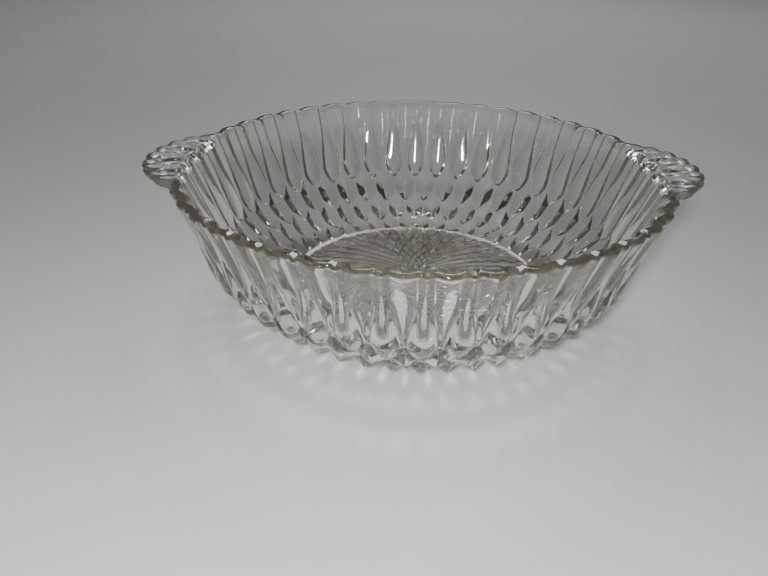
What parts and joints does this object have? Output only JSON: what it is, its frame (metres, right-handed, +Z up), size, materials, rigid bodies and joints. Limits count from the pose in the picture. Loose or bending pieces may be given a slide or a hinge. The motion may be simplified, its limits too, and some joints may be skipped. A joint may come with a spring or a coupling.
{
  "type": "handled glass bowl",
  "caption": "Round clear pressed-glass bowl with a fluted wall, scalloped lip, two fan-shaped rim handles and a base of diamond points.",
  "frame": {"origin": "centre of the circle of flat-tipped points that the bowl rests on, in the resting plane", "axes": "+Z up out of the bowl's mouth, +X through the middle of the right handle, +Y towards the back"},
  "size_m": [0.252, 0.2234, 0.0685],
  "materials": {
    "clear_glass": "polished"
  },
  "bodies": {
    "root": {"floor_centre": "clear_glass", "floor_field": "clear_glass", "shoulder": "clear_glass", "lower_wall": "clear_glass", "upper_wall": "clear_glass", "lip": "clear_glass", "lip_scallops": "clear_glass", "wall_tongues": "clear_glass", "wall_columns": "clear_glass", "column_bulbs": "clear_glass", "upper_points": "clear_glass", "middle_points": "clear_glass", "lower_points": "clear_glass", "foot_points": "clear_glass", "outer_floor_points": "clear_glass", "inner_floor_points": "clear_glass", "right_handle": "clear_glass", "right_handle_ridges": "clear_glass", "left_handle": "clear_glass", "left_handle_ridges": "clear_glass"}
  },
  "joints": []
}
